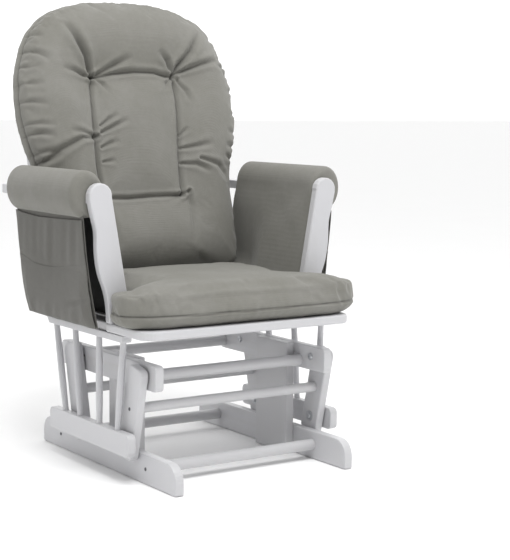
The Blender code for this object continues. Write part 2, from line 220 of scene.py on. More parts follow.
# %% Steel finishes
def plated_steel(name, light, dark, rough):
    made, tree, shader = new_material(name)
    coords = add(tree, "TexCoord")
    cloud = add(tree, "TexNoise", {"Scale": 260.0, "Detail": 2.0},
                {"Vector": coords.outputs["Object"]})
    rings = add(tree, "TexWave", {"Scale": 420.0, "Distortion": 1.0, "wave_type": "RINGS",
                "rings_direction": "X"}, {"Vector": coords.outputs["Object"]})
    tint = add(tree, "Mix", {"data_type": "RGBA", 6: rgb(dark), 7: rgb(light)},
               {0: cloud.outputs["Fac"]})
    gloss = add(tree, "MapRange", {"To Min": rough - 0.07, "To Max": rough + 0.09},
                {"Value": cloud.outputs["Fac"]})
    turned = add(tree, "Bump", {"Strength": 0.1, "Distance": 0.0001},
                 {"Height": rings.outputs["Fac"]})
    tree.links.new(tint.outputs[2], shader.inputs["Base Color"])
    tree.links.new(gloss.outputs["Result"], shader.inputs["Roughness"])
    tree.links.new(turned.outputs["Normal"], shader.inputs["Normal"])
    shader.inputs["Metallic"].default_value = 1.0
    return made


zinc = plated_steel("bright_zinc_on_turned_steel", "#D0D2D4", "#A9ABAF", 0.3)
grey_steel = plated_steel("dulled_zinc_on_steel", "#8C8C8F", "#6C6C6F", 0.5)

# %% [markdown]
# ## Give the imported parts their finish
# A board's grain follows its longest side, so the longest side of each node's box picks the paint.

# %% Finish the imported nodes
for name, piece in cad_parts.items():
    low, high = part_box(name)
    span = high - low
    longest = max(range(3), key=lambda i: span[i])
    finish = zinc if "bolt" in name or "bearing" in name else paints[longest]
    piece.data.materials.clear()
    piece.data.materials.append(finish)
print("finished", len(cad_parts), "packed parts")

# %% [markdown]
# ## Brushed grey cloth
# The covers are a brushed, suede-like polyester. Its nap scatters light, so it has almost no
# gloss, a soft sheen at grazing angles and slow, cloudy changes of tone where the nap lies the
# other way. The real threads are about 0.4 mm apart, too fine to show, so the weave is drawn at
# 1.9 mm. Seams and deep folds carry an attribute, "crease", that darkens the cloth as painted
# shade.
# The side panels use a darker copy of the cloth: painted shade for faces turned away from the
# light.


# %% Cloth finishes
def brushed_cloth(name, light, dark, crease, spacing_mm=1.9):
    made, tree, shader = new_material(name)
    coords = add(tree, "TexCoord")
    where = coords.outputs["Object"]
    slow = add(tree, "TexNoise", {"Scale": 7.0, "Detail": 4.0, "Roughness": 0.6}, {"Vector": where})
    nap = add(tree, "TexNoise", {"Scale": 75.0, "Detail": 5.0, "Roughness": 0.75},
              {"Vector": where})
    fibre = add(tree, "TexNoise", {"Scale": 900.0, "Detail": 2.0}, {"Vector": where})
    blend = add(tree, "Math", {"operation": "MULTIPLY_ADD", 1: 0.5},
                {0: nap.outputs["Fac"], 2: slow.outputs["Fac"]})
    tone = add(tree, "MapRange", {"From Min": 0.45, "From Max": 1.05}, {"Value": blend.outputs[0]})
    cloth = add(tree, "Mix", {"data_type": "RGBA", 6: rgb(dark), 7: rgb(light)},
                {0: tone.outputs["Result"]})
    # painted shade: the crease attribute mixes the cloth towards the crease colour along seams and
    # folds
    deep = add(tree, "Attribute", {"attribute_name": "crease"})
    shaded = add(tree, "Mix", {"data_type": "RGBA", 7: rgb(crease)},
                 {0: deep.outputs["Fac"], 6: cloth.outputs[2]})
    threads = []
    for turn in ((0.0, 0.0, 0.0), (0.0, 0.0, 1.5708), (0.7854, 0.0, 1.5708)):
        laid = add(tree, "Mapping", {"Rotation": turn}, {"Vector": where})
        threads.append(add(tree, "TexWave", {"Scale": 314.0 / spacing_mm, "Distortion": 0.6,
                       "Detail": 1.0, "Detail Scale": 1.0}, {"Vector": laid.outputs["Vector"]}))
    warp = add(tree, "Math", {"operation": "ADD"},
               {0: threads[0].outputs["Fac"], 1: threads[1].outputs["Fac"]})
    weave = add(tree, "Math", {"operation": "ADD"},
                {0: warp.outputs[0], 1: threads[2].outputs["Fac"]})
    fuzz = add(tree, "Math", {"operation": "MULTIPLY_ADD", 1: 1.6},
               {0: fibre.outputs["Fac"], 2: weave.outputs[0]})
    bump = add(tree, "Bump", {"Strength": 0.22, "Distance": 0.0006}, {"Height": fuzz.outputs[0]})
    tree.links.new(shaded.outputs[2], shader.inputs["Base Color"])
    tree.links.new(bump.outputs["Normal"], shader.inputs["Normal"])
    shader.inputs["Roughness"].default_value = 0.92
    shader.inputs["Specular IOR Level"].default_value = 0.2
    shader.inputs["Sheen Weight"].default_value = 0.18
    shader.inputs["Sheen Roughness"].default_value = 0.5
    return made


# the third colour of each cloth is the painted shade mixed in along seams and folds
grey_cloth = brushed_cloth("brushed_grey_polyester", "#868580", "#77766F", "#353431")
# a darker copy of the grey cloth: painted shade for the side panels, which face away from the light
painted_shade_cloth = brushed_cloth("brushed_grey_polyester_painted_shade", "#6B6A66", "#5D5C57", "#282724")
lining_cloth = brushed_cloth("black_polyester_lining", "#232322", "#1B1B1A", "#0A0A0A")
print("cloths:", grey_cloth.name, painted_shade_cloth.name, lining_cloth.name)


# %% [markdown]
# ## Helpers for soft pieces
# A cushion starts as a closed outline with thickness. It is remeshed into even small faces, blown
# up like a real filled cover with the cloth solver, capped so that it keeps its size, and then
# smoothed once. Seams and folds are pressed in afterwards, because the remesh would lose them.


# %% Mesh helpers
def link_mesh(name, mesh, material, smooth=True):
    made = bpy.data.objects.new(name, mesh)
    bpy.context.collection.objects.link(made)
    mesh.materials.clear()
    mesh.materials.append(material)
    if smooth:
        mesh.shade_smooth()
    return made


def points_of(mesh):
    flat = np.empty(len(mesh.vertices) * 3)
    mesh.vertices.foreach_get("co", flat)
    return flat.reshape(-1, 3)


def set_points(mesh, points):
    mesh.vertices.foreach_set("co", np.asarray(points, float).ravel())
    mesh.update()


def applied(piece):
    """Replace the piece's mesh by the result of its modifiers."""
    graph = bpy.context.evaluated_depsgraph_get()
    fresh = bpy.data.meshes.new_from_object(piece.evaluated_get(graph))
    old = piece.data
    piece.modifiers.clear()
    piece.data = fresh
    bpy.data.meshes.remove(old)
    return piece


def subdivide_once(piece):
    step = piece.modifiers.new("smooth_once", "SUBSURF")
    step.levels = step.render_levels = 1
    return applied(piece)


def face_outwards(mesh):
    """Turn every face of a closed mesh to look outwards."""
    work = bmesh.new()
    work.from_mesh(mesh)
    bmesh.ops.recalc_face_normals(work, faces=work.faces)
    work.to_mesh(mesh)
    work.free()


# Store how much painted shade each point gets along seams and folds.
def paint_crease_shade(mesh, amount):
    layer = mesh.attributes.get("crease") or mesh.attributes.new("crease", "FLOAT", "POINT")
    layer.data.foreach_set("value", np.clip(amount, 0, 1).astype(np.float32))


def smooth_through(corners, steps=6):
    """A closed smooth curve through 2-D corners, as an array."""
    p = np.array(corners, float)
    out = []
    for i in range(len(p)):
        a, b, c, d = (p[(i + k) % len(p)] for k in (-1, 0, 1, 2))
        for t in np.arange(steps) / steps:
            out.append(0.5 * (2 * b + (c - a) * t + (2 * a - 5 * b + 4 * c - d) * t * t
                              + (3 * b - a - 3 * c + d) * t ** 3))
    return np.array(out)


def prism(outline, low, high):
    """A closed block: a 2-D outline with points (a, b) between two heights."""
    n = len(outline)
    verts = [(a, b, low) for a, b in outline] + [(a, b, high) for a, b in outline]
    faces = [tuple(range(n))[::-1], tuple(range(n, 2 * n))]
    faces += [(i, (i + 1) % n, n + (i + 1) % n, n + i) for i in range(n)]
    mesh = bpy.data.meshes.new("block")
    mesh.from_pydata(verts, [], faces)
    return mesh


def swell(piece, held, pressure, cap, frames=20):
    """Blow the cover up with the cloth solver, keeping the held points and capping the rest."""
    start = points_of(piece.data)
    group = piece.vertex_groups.new(name="held")
    for index in np.nonzero(held > 0)[0]:
        group.add([int(index)], float(held[index]), "REPLACE")
    cloth = piece.modifiers.new("swell", "CLOTH")
    cloth.settings.use_pressure = True
    cloth.settings.uniform_pressure_force = pressure
    cloth.settings.effector_weights.gravity = 0
    cloth.settings.vertex_group_mass = "held"
    cloth.settings.quality = 4
    cloth.collision_settings.use_collision = False
    for number in range(1, frames + 1):
        bpy.context.scene.frame_set(number)
    applied(piece)
    piece.vertex_groups.clear()
    moved = points_of(piece.data) - start
    far = np.linalg.norm(moved, axis=1, keepdims=True)
    moved *= np.minimum(1.0, cap / np.maximum(far, 1e-9))
    set_points(piece.data, start + moved)
    bpy.context.scene.frame_set(1)
    return piece


def remesh(piece, voxel):
    step = piece.modifiers.new("even_faces", "REMESH")
    step.mode, step.voxel_size = "VOXEL", voxel
    return applied(piece)


def relax(piece, times, factor=0.5):
    step = piece.modifiers.new("relax", "SMOOTH")
    step.iterations, step.factor = times, factor
    return applied(piece)


def polyline_distance(points, line):
    """For each 2-D point: distance to a polyline and the share of the way along it."""
    line = np.array(line, float)
    best = np.full(len(points), 9.0)
    share = np.zeros(len(points))
    lengths = np.linalg.norm(np.diff(line, axis=0), axis=1)
    before = np.concatenate([[0], np.cumsum(lengths)])
    for a, b, start, length in zip(line, line[1:], before, lengths):
        t = np.clip(((points - a) @ (b - a)) / length ** 2, 0, 1)
        d = np.linalg.norm(points - (a + t[:, None] * (b - a)), axis=1)
        near = d < best
        best = np.where(near, d, best)
        share = np.where(near, (start + t * length) / before[-1], share)
    return best, share


# %% [markdown]
# ## The seat cushion
# The seat cushion is T shaped: it fills the space between the arms and its front wings wrap
# round the arm posts. The top panel rolls over the front edge and is joined to a narrow border
# by a seam about 28 mm above the plank. It is flat only underneath.

# %% Seat cushion shape
plank_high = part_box("front_plank")[1]
post_low, post_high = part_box("arm_post_right")
SEAT_Z = plank_high.z + 0.0004
POST_FRONT = post_low.y - 0.0008
POST_INSIDE = post_low.x - 0.0012
SEAM_Z = SEAT_Z + 0.0275


def seat_outline():
    wing, waist = 0.2890, POST_INSIDE - 0.004
    front, back, wing_rear = -0.2980, 0.0840, POST_FRONT - 0.006
    right = [(0.0, front - 0.003), (0.15, front - 0.002), (0.225, front + 0.003),
             (0.262, front + 0.018), (wing, front + 0.045), (wing + 0.001, front + 0.085),
             (wing - 0.008, wing_rear - 0.012), (wing - 0.030, wing_rear),
             (waist + 0.010, wing_rear - 0.001), (waist, wing_rear + 0.010), (waist, -0.08),
             (waist, 0.03), (waist - 0.002, back - 0.03), (waist - 0.022, back - 0.004),
             (0.10, back)]
    left = [(-x, y) for x, y in right[::-1][:-1]]
    return smooth_through(right + [(0.0, back)] + left, 5)


seat_cushion = link_mesh("seat_cushion_cover", prism(seat_outline(), SEAT_Z, SEAT_Z + 0.070),
                         grey_cloth)
remesh(seat_cushion, 0.006)
relax(seat_cushion, 14)
pts = points_of(seat_cushion.data)
crown = np.clip((pts[:, 2] - SEAT_Z - 0.03) / 0.04, 0, 1)
dome = (1 - (pts[:, 0] / 0.33) ** 2) * (1 - ((pts[:, 1] + 0.10) / 0.27) ** 2)
pts[:, 2] += crown * 0.012 * np.clip(dome, 0, 1)
set_points(seat_cushion.data, pts)
flat_below = (pts[:, 2] < SEAT_Z + 0.012).astype(float)
swell(seat_cushion, flat_below, 3.5, 0.012)
subdivide_once(seat_cushion)
print("seat cushion blown up:", len(seat_cushion.data.vertices), "points")

# %% [markdown]
# The seam is a narrow valley all round, with a slight pull every few centimetres where the
# thread is tight. Then the cushion is pressed flat where it rests on the boards and where it
# touches the arm posts.


# %% Seat cushion seam and contact
def wander(values, sizes, seed):
    """A smooth, seeded up-and-down along a length: a few sine waves with random starts."""
    draw = np.random.default_rng(seed)
    total = np.zeros_like(values)
    for size in sizes:
        total += np.sin(values * 2 * math.pi / size + draw.uniform(0, 6.28))
    return total / len(sizes)


pts = points_of(seat_cushion.data)
middle = np.array([0.0, -0.12])
round_about = np.arctan2(pts[:, 1] + 0.12, pts[:, 0])
outward = pts[:, :2] - middle
outward /= np.maximum(np.linalg.norm(outward, axis=1, keepdims=True), 1e-6)
seat_edge = np.abs(np.array([n.vector[2] for n in seat_cushion.data.vertex_normals])) < 0.9
off_seam = np.abs(pts[:, 2] - SEAM_Z - 0.0015 * wander(round_about, (0.5, 0.9, 1.7), 3))
valley = np.exp(-(off_seam / 0.0035) ** 2) * seat_edge
pucker = np.exp(-(off_seam / 0.014) ** 2) * wander(round_about, (0.11, 0.17, 0.23), 5) * seat_edge
pts[:, :2] -= outward * (0.0028 * valley + 0.0011 * pucker)[:, None]
soft_wave = (wander(pts[:, 0] + 0.6 * pts[:, 1], (0.21, 0.33), 8)
             * wander(pts[:, 1], (0.19, 0.31), 9))
pts[:, 2] += 0.0022 * soft_wave * np.clip((pts[:, 2] - SEAM_Z - 0.02) / 0.03, 0, 1)
under = np.clip((SEAM_Z - 0.003 - pts[:, 2]) / 0.0245, 0, 1)
pts[:, :2] -= outward * (0.0200 * under ** 1.4)[:, None]
pts[:, 2] = np.maximum(pts[:, 2], SEAT_Z)
beside = np.abs(pts[:, 0]) > POST_INSIDE
behind_post_front = pts[:, 1] > POST_FRONT
past_both = beside & behind_post_front
nearer_front = (pts[:, 1] - POST_FRONT) < (np.abs(pts[:, 0]) - POST_INSIDE)
pts[:, 1] = np.where(past_both & nearer_front, POST_FRONT, pts[:, 1])
pts[:, 0] = np.where(past_both & ~nearer_front, np.sign(pts[:, 0]) * POST_INSIDE, pts[:, 0])
fuller = np.clip((pts[:, 0] - 0.16) / 0.12, 0, 1) * np.clip((POST_FRONT - pts[:, 1]) / 0.03, 0, 1)
pts[:, 0] += 0.0100 * fuller
set_points(seat_cushion.data, pts)
# painted shade: the cloth is darkened along the seam valley, as if in shadow
paint_crease_shade(seat_cushion.data, 0.75 * np.exp(-(off_seam / 0.0016) ** 2) * seat_edge)
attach(seat_cushion, "seat")
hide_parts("seat_cushion")
print("seat cushion:", len(seat_cushion.data.vertices), "points, top",
      round(float(pts[:, 2].max()), 3))

# %% [markdown]
# ## The back cushion
# The back cushion is one big pillow with a rounded top, tied down at two buttonless tufts near
# the head and stitched along a rectangle in the middle. Everything pulls towards the tufts: two
# long folds run to the shoulders, short ones run sideways, and the rim puckers where the cover
# is gathered. It is shaped lying flat, as (across, up the back, out of the back), then stood up
# on the leaning frame.

# %% The leaning frame
LEAN = math.atan(0.27)
BACK_FOOT = np.array([0.0, 0.1428, 0.3090])
UP_BACK = np.array([0.0, math.sin(LEAN), math.cos(LEAN)])
OUT_BACK = np.array([0.0, -math.cos(LEAN), math.sin(LEAN)])


def stand_up(flat):
    """Points (across, up, out) to the row frame."""
    flat = np.asarray(flat, float)
    return (BACK_FOOT + np.outer(flat[:, 0], (1, 0, 0)) + np.outer(flat[:, 1], UP_BACK)
            + np.outer(flat[:, 2], OUT_BACK))


# %% Seams and folds of the back cushion
TUFTS = ((-0.111, 0.530), (0.109, 0.537))
# line, half width, depth, how much painted shade the crease gets
SEAMS = (
    (((-0.111, 0.530), (-0.055, 0.540), (0.0, 0.545), (0.055, 0.545), (0.107, 0.536)),
     0.0052, 0.0072, 0.75),
    (((-0.111, 0.530), (-0.120, 0.47), (-0.125, 0.39), (-0.128, 0.32), (-0.124, 0.249)),
     0.0044, 0.0050, 0.7),
    (((0.107, 0.536), (0.107, 0.50), (0.103, 0.45), (0.096, 0.39), (0.089, 0.33), (0.085, 0.251)),
     0.0044, 0.0050, 0.65),
    (((-0.124, 0.247), (-0.06, 0.245), (0.0, 0.248), (0.085, 0.249)), 0.0045, 0.0050, 0.7),
)
FOLDS = (
    (((-0.111, 0.534), (-0.124, 0.580), (-0.147, 0.624), (-0.170, 0.664)), 0.0085, 0.0125, 0.5),
    (((0.109, 0.541), (0.122, 0.562), (0.158, 0.598), (0.192, 0.650)), 0.0085, 0.0110, 0.45),
    (((-0.109, 0.533), (-0.086, 0.543), (-0.046, 0.562), (-0.002, 0.582)), 0.0065, 0.0075, 0.4),
    (((-0.113, 0.530), (-0.155, 0.544), (-0.190, 0.551)), 0.0065, 0.0065, 0.35),
    (((0.107, 0.545), (0.093, 0.574), (0.070, 0.597)), 0.0065, 0.0075, 0.35),
    (((0.111, 0.543), (0.176, 0.563), (0.262, 0.588)), 0.0070, 0.0085, 0.45),
    (((0.276, 0.566), (0.220, 0.564)), 0.0060, 0.006, 0.3),
    (((0.112, 0.535), (0.134, 0.500), (0.140, 0.470)), 0.0055, 0.005, 0.2),
    (((-0.107, 0.535), (-0.085, 0.515), (-0.070, 0.490)), 0.0055, 0.0045, 0.15),
    (((0.106, 0.535), (0.086, 0.518), (0.078, 0.500)), 0.0055, 0.0050, 0.2),
    (((-0.108, 0.415), (-0.085, 0.430), (-0.060, 0.442)), 0.0050, 0.0045, 0.25),
    (((-0.110, 0.398), (-0.075, 0.413), (-0.036, 0.430)), 0.0055, 0.0055, 0.3),
    (((-0.112, 0.364), (-0.090, 0.373), (-0.066, 0.380)), 0.0055, 0.0045, 0.2),
    (((-0.114, 0.330), (-0.080, 0.333)), 0.0050, 0.0035, 0.15),
    (((-0.121, 0.389), (-0.160, 0.386), (-0.214, 0.360), (-0.253, 0.333), (-0.286, 0.330)),
     0.0080, 0.0075, 0.4),
    (((-0.118, 0.392), (-0.157, 0.400), (-0.190, 0.402)), 0.0060, 0.0055, 0.25),
    (((0.098, 0.360), (0.140, 0.364), (0.186, 0.372)), 0.0065, 0.0052, 0.3),
    (((0.094, 0.324), (0.130, 0.320), (0.168, 0.300)), 0.0065, 0.0055, 0.28),
    (((0.142, 0.333), (0.192, 0.318), (0.232, 0.282)), 0.0075, 0.0060, 0.25),
    (((0.099, 0.391), (0.124, 0.412)), 0.0050, 0.004, 0.25),
    (((0.103, 0.257), (0.102, 0.20), (0.098, 0.135)), 0.0070, 0.0040, 0.12),
    (((-0.113, 0.257), (-0.112, 0.20), (-0.108, 0.135)), 0.0070, 0.0040, 0.12),
    (((0.103, 0.257), (0.070, 0.244), (0.045, 0.238)), 0.0060, 0.0040, 0.15),
)


def press(flat, lines, taper):
    """How deep each point lies in the lines, how high beside them, and how much painted shade it
    gets.
    """
    height = np.zeros(len(flat))
    dark = np.zeros(len(flat))
    for line, width, depth, tone in lines:
        d, along = polyline_distance(flat[:, :2], line)
        fade = np.clip((1 - along) / 0.45, 0, 1) ** 0.8 if taper else 1.0
        wide = width * (0.55 + 0.65 * along) if taper else width
        height -= depth * fade * np.exp(-(d / wide) ** 2)
        height += 0.32 * depth * fade * np.exp(-((d - 2.1 * wide) / (1.2 * wide)) ** 2)
        dark = np.maximum(dark, tone * fade * np.exp(-(d / (0.42 * wide)) ** 2))
    return height, dark


def rim_gathers(outline, seed):
    """Short creases that run in from the rim where the cover is gathered."""
    draw = np.random.default_rng(seed)
    middle = np.array([0.0, 0.42])
    made = []
    total = len(outline)
    step = 0
    while step < total:
        at = outline[int(step)]
        side = abs(at[0]) > 0.23
        if at[1] > 0.30:
            inward = (middle + (0, 0.5 * (at[1] - 0.42)) - at)
            inward /= np.linalg.norm(inward)
            slant = np.array([-inward[1], inward[0]]) * draw.uniform(-0.25, 0.25)
            long = draw.uniform(0.030, 0.066) if side else draw.uniform(0.012, 0.030)
            deep = draw.uniform(0.0035, 0.0070) if side else draw.uniform(0.0015, 0.0030)
            inner = at + (inward + slant) * long
            halfway = at + (inward + 0.4 * slant) * long * 0.5
            line = tuple(map(tuple, (at - inward * 0.01, halfway, inner)))
            # the last number is the painted shade in the gather
            made.append((line, draw.uniform(0.0045, 0.0070), deep, draw.uniform(0.15, 0.4)))
        step += draw.uniform(2.2, 4.2)
    return made


# %% Back cushion outline and first shape
RIM = ((0.0, 0.070), (0.12, 0.070), (0.205, 0.074), (0.236, 0.100), (0.248, 0.19), (0.253, 0.28),
       (0.264, 0.335), (0.279, 0.390), (0.288, 0.450), (0.285, 0.520), (0.270, 0.585),
       (0.240, 0.648), (0.192, 0.694), (0.120, 0.720), (0.045, 0.729), (0.0, 0.730))
rim = smooth_through(list(RIM) + [(-x, v) for x, v in RIM[-2:0:-1]], 5)
centre = np.array([0.0, 0.40])
start_rim = centre + (rim - centre) * 0.990
back_cushion = link_mesh("back_cushion_cover", prism(start_rim, 0.004, 0.062), grey_cloth)
remesh(back_cushion, 0.0052)
relax(back_cushion, 16)

flat = points_of(back_cushion.data)
in_front = np.clip((flat[:, 2] - 0.030) / 0.020, 0, 1)
rim_gap, rim_share = polyline_distance(flat[:, :2], np.vstack([start_rim, start_rim[:1]]))
seam_gap = np.min([polyline_distance(flat[:, :2], line)[0] for line, *_ in SEAMS], axis=0)
tuft_gap = np.min([np.linalg.norm(flat[:, :2] - t, axis=1) for t in TUFTS], axis=0)
plump = 1 - np.exp(-(rim_gap / 0.055) ** 1.5)
flat[:, 2] += in_front * plump * (0.026 - 0.011 * np.exp(-(seam_gap / 0.035) ** 2)
                                  - 0.013 * np.exp(-(tuft_gap / 0.045) ** 2))
set_points(back_cushion.data, flat)
held = ((flat[:, 2] < 0.012) | ((seam_gap < 0.004) & (in_front > 0.5))).astype(float)
swell(back_cushion, held, 3.2, 0.011)
subdivide_once(back_cushion)
print("back cushion blown up:", len(back_cushion.data.vertices), "points")

# %% Press in seams, folds and gathers
flat = points_of(back_cushion.data)
in_front = np.clip((flat[:, 2] - 0.018) / 0.022, 0, 1)
seam_height, seam_painted_shade = press(flat, SEAMS, False)
fold_height, fold_painted_shade = press(flat, FOLDS, True)
rim_height, gather_painted_shade = press(flat, rim_gathers(rim, 11), True)
slow = wander(flat[:, 0] + 0.4 * flat[:, 1], (0.13, 0.19, 0.31), 21) \
    * wander(flat[:, 1] - 0.3 * flat[:, 0], (0.12, 0.21), 22)
flat[:, 2] += in_front * (seam_height + fold_height + rim_height + 0.0022 * slow)
# the rim seam: a narrow valley half way through the thickness, all round
rim_gap, rim_share = polyline_distance(flat[:, :2], np.vstack([rim, rim[:1]]))
off_rim_seam = np.abs(flat[:, 2] - 0.034)
at_rim = np.exp(-(rim_gap / 0.016) ** 2)
inward = centre + (0, 0.0) - flat[:, :2]
inward /= np.maximum(np.linalg.norm(inward, axis=1, keepdims=True), 1e-6)
around = rim_share * 2.1
scallop = wander(around, (0.041, 0.055, 0.083), 31)
flat[:, :2] += inward * (at_rim * (0.0035 * np.exp(-(off_rim_seam / 0.004) ** 2)
                                   + 0.0010 * scallop))[:, None]
flat[:, 2] = np.maximum(flat[:, 2], 0.0006)
# painted shade: seams, folds, gathers and the rim seam are darkened as if in shadow
dark = in_front * np.maximum.reduce([seam_painted_shade, fold_painted_shade, gather_painted_shade])
dark = np.maximum(dark, 0.5 * at_rim * np.exp(-(off_rim_seam / 0.0022) ** 2))
paint_crease_shade(back_cushion.data, dark)
set_points(back_cushion.data, stand_up(flat))
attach(back_cushion, "seat")
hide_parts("back_cushion")
print("back cushion:", len(back_cushion.data.vertices), "points, out",
      round(float(flat[:, 2].max()), 3))

# %% [markdown]
# ## The arm covers
# Each arm cover is one piece of cloth over a padded roll. Inside, it falls from the roll to the
# seat; outside, it ends in a seam below the roll, where the pocket panel hangs. Its cross-section
# is drawn once and swept along the arm, and the two ends are rounded by pulling the end rings in.

# %% Arm cover cross-section
pad_low, pad_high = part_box("arm_pad_right")
ROLL_MID = ((pad_low.x + pad_high.x) / 2, (pad_low.z + pad_high.z) / 2)
ROLL_X, ROLL_Z = (pad_high.x - pad_low.x) / 2, (pad_high.z - pad_low.z) / 2
INNER_FOOT = (0.2175, 0.3345)
INNER_TOP = (0.2640, 0.5900)
CLOTH = 0.0040


def cover_section():
    """Points (x, z, room): room is how far an end ring may pull the point in."""
    out = []
    for k in range(15):
        t = k / 14
        x = INNER_FOOT[0] + (INNER_TOP[0] - INNER_FOOT[0]) * t
        out.append((x + 0.0020 * math.sin(math.pi * t), INNER_FOOT[1]
                    + (INNER_TOP[1] - INNER_FOOT[1]) * t,
                    0.0018 + 0.0102 * max(0, t - 0.85) / 0.15))
    for k in range(1, 22):
        a = math.radians(180 - 12.0 * k)
        out.append((ROLL_MID[0] + ROLL_X * math.cos(a), ROLL_MID[1] + ROLL_Z * math.sin(a), 0.014))
    out += [(0.3000, 0.5460, 0.012), (0.2800, 0.5530, 0.010), (0.2700, 0.5620, 0.006)]
    for k in range(1, 14):
        t = 1 - (k + 0.6) / 13.6
        x = INNER_FOOT[0] + (INNER_TOP[0] - INNER_FOOT[0]) * t
        out.append((x + CLOTH + 0.0020 * math.sin(math.pi * t), INNER_FOOT[1]
                    + (INNER_TOP[1] - INNER_FOOT[1]) * t, 0.0018))
    return np.array(out)


def sweep_cover(name, side):
    section = cover_section()
    n = len(section)
    nxt, prv = np.roll(section[:, :2], -1, axis=0), np.roll(section[:, :2], 1, axis=0)
    tangent = nxt - prv
    tangent /= np.linalg.norm(tangent, axis=1, keepdims=True)
    inward = np.stack([tangent[:, 1], -tangent[:, 0]], axis=1)
    y0, y1 = pad_low.y + 0.0005, pad_high.y
    ends = [(0.014 * (1 - math.sin(a)), 1 - math.cos(a))
            for a in (math.radians(15 * k) for k in range(6, -1, -1))]
    # ends: (distance from the end face, share of the room used)
    rows = [(y0 + d, share) for d, share in ends]
    rows += [(y0 + 0.0140 + (y1 - y0 - 0.028) * k / 44, 0.0) for k in range(1, 44)]
    rows += [(y1 - d, share) for d, share in ends[::-1]]
    verts = []
    for y, share in rows:
        ring = section[:, :2] + inward * (section[:, 2:3] * share)
        push = np.clip((y - 0.035) / 0.06, 0, 1)
        below = np.clip((0.585 - section[:, 1]) / 0.05, 0, 1)
        clear = 0.2575 - section[:, 0]
        above = np.clip((section[:, 1] - 0.33) / 0.07, 0, 1)
        ring[:, 0] += push * below * np.maximum(clear, 0) * above
        verts += [(side * x, y, z) for x, z in ring]
    faces = []
    for r in range(len(rows) - 1):
        faces += [(r * n + i, r * n + (i + 1) % n, (r + 1) * n + (i + 1) % n, (r + 1) * n + i)
                  for i in range(n)]
    faces += [tuple(range(n))[::-1], tuple(range((len(rows) - 1) * n, len(rows) * n))]
    mesh = bpy.data.meshes.new(name)
    mesh.from_pydata(verts, [], faces)
    face_outwards(mesh)
    return link_mesh(name, mesh, grey_cloth)


for label, side in SIDES:
    cover = sweep_cover("arm_cover_" + label, side)
    subdivide_once(cover)
    pts = points_of(cover.data)
    wave = wander(pts[:, 1], (0.11, 0.17), 41) * wander(pts[:, 2], (0.09, 0.16), 42)
    pts[:, 0] += side * 0.0010 * wave * np.clip((pts[:, 2] - 0.38) / 0.1, 0, 1)
    set_points(cover.data, pts)
    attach(cover, "seat")
    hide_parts("arm_pad_" + label)
print("arm covers from y", round(pad_low.y, 3), "to", round(pad_high.y, 3))


# %% [markdown]
# ## Side panels with pockets
# Outside each arm a panel hangs from the roll, with two pockets sewn on it. The upper pocket is
# gathered into upright folds, the lower one bags outwards and is puckered at the bottom. Each
# layer is its own thin closed sheet, so the pocket openings cast real shadows.

# %% Sheet maker
def hanging_x(y, z):
    """The panel's face: from under the roll to the side of the seat, bowed outwards."""
    t = (z - 0.315) / (0.546 - 0.315)
    return 0.2830 + 0.0330 * t + 0.0045 * np.sin(np.pi * np.clip(t, 0, 1))


def cloth_patch(name, side, y_range, bottom, top, lift, thick, rows=(70, 60)):
    """A closed thin sheet over (y, z). bottom, top and lift are functions of y, and of y and z."""
    ny, nz = rows
    ys = np.linspace(*y_range, ny)
    grid_y = np.repeat(ys, nz)
    t = np.tile(np.linspace(0, 1, nz), ny)
    grid_z = bottom(grid_y) * (1 - t) + top(grid_y) * t
    face_x = hanging_x(grid_y, grid_z) + lift(grid_y, grid_z)
    outer = np.stack([side * face_x, grid_y, grid_z], axis=1)
    inner = np.stack([side * (face_x - thick), grid_y, grid_z], axis=1)
    faces = []
    for i in range(ny - 1):
        for j in range(nz - 1):
            a, b, c, d = i * nz + j, (i + 1) * nz + j, (i + 1) * nz + j + 1, i * nz + j + 1
            faces += [(a, b, c, d), tuple(v + ny * nz for v in (d, c, b, a))]
    edge = [i * nz for i in range(ny)] + [(ny - 1) * nz + j for j in range(1, nz)]
    edge += [i * nz + nz - 1 for i in range(ny - 2, -1, -1)] + list(range(nz - 2, 0, -1))
    for a, b in zip(edge, edge[1:] + edge[:1]):
        faces.append((b, a, a + ny * nz, b + ny * nz))
    mesh = bpy.data.meshes.new(name)
    mesh.from_pydata(np.vstack([outer, inner]).tolist(), [], faces)
    face_outwards(mesh)
    # panels and pockets take the darker cloth: painted shade for faces turned away from the light
    return link_mesh(name, mesh, painted_shade_cloth)


# %% Panels and pockets
PANEL_Y = (post_high.y + 0.0022, 0.1770)


def panel_bottom(y):
    return 0.3165 + 0.0010 * wander(y, (0.05, 0.08), 51)


def pocket_edge(y):
    """The lower pocket's opening: it sags between its two ends, lowest a bit behind the middle."""
    return np.interp(y, (-0.144, -0.061, 0.019, 0.064, 0.105, 0.153, 0.180),
                     (0.4515, 0.4425, 0.4338, 0.4320, 0.4345, 0.4450, 0.4510))


def upper_edge(y):
    """The upper pocket's opening: tucked under the roll, with a slight sag."""
    return np.interp(y, (-0.140, -0.027, 0.064, 0.146, 0.180),
                     (0.5440, 0.5405, 0.5385, 0.5430, 0.5480))


def gathers(y, z):
    """Upright folds that lean a little, strongest below the hem."""
    lean = y + 0.25 * (z - 0.48)
    folds = 0.45 * wander(lean, (0.036, 0.049), 61) + 0.6 * wander(lean, (0.058, 0.083), 62)
    level = np.clip((z - 0.43) / 0.03, 0, 1) * np.clip((0.552 - z) / 0.03, 0.15, 1)
    return 0.0034 + 0.0017 * folds * level


